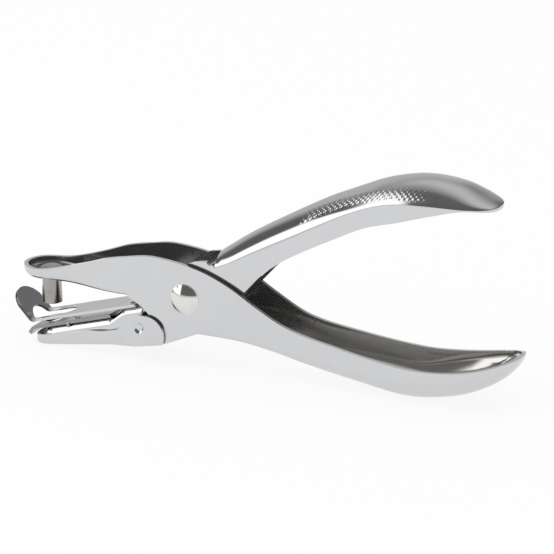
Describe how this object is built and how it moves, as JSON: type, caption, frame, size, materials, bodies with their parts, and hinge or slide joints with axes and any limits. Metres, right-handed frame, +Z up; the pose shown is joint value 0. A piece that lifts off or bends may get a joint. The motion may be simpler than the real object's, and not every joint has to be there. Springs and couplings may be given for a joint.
{
  "type": "single hole punch",
  "caption": "Plier-type single hole punch in chromed sheet steel, with sprung handles, a round punch over a die, a paper guide and a swing-down chip tray.",
  "frame": {"origin": "middle of the length and width of the open punch, on the table it stands on", "axes": "+X from the jaws to the handles, +Y along the pivot rivet, +Z up"},
  "size_m": [0.1562, 0.0226, 0.0626],
  "materials": {
    "chromed_sheet": "polished",
    "rivet_steel": "polished",
    "tool_steel": "satin",
    "spring_wire": "satin"
  },
  "bodies": {
    "frame": {"frame": "chromed_sheet", "pivot_rivet": "rivet_steel", "pivot_bush": "tool_steel", "punch_pin": "tool_steel", "punch_washer": "tool_steel"},
    "lever": {"lever": "chromed_sheet", "die_plate": "chromed_sheet", "paper_guide": "chromed_sheet", "guide_rivet_near": "rivet_steel", "guide_rivet_far": "rivet_steel", "return_spring": "spring_wire"},
    "tray": {"chip_tray": "chromed_sheet"}
  },
  "joints": [
    {"name": "main_pivot", "type": "hinge", "parent": "frame", "child": "lever", "pos_m": [-0.02095, 0, 0.02048], "axis": [0, 1, 0], "range_deg": [0, 8], "stiffness_Nm_per_rad": 1, "springref_deg": -14.32},
    {"name": "tray_hinge", "type": "hinge", "parent": "lever", "child": "tray", "pos_m": [-0.03495, 0, 0.01028], "axis": [0, 1, 0], "range_deg": [-60, 0]}
  ]
}
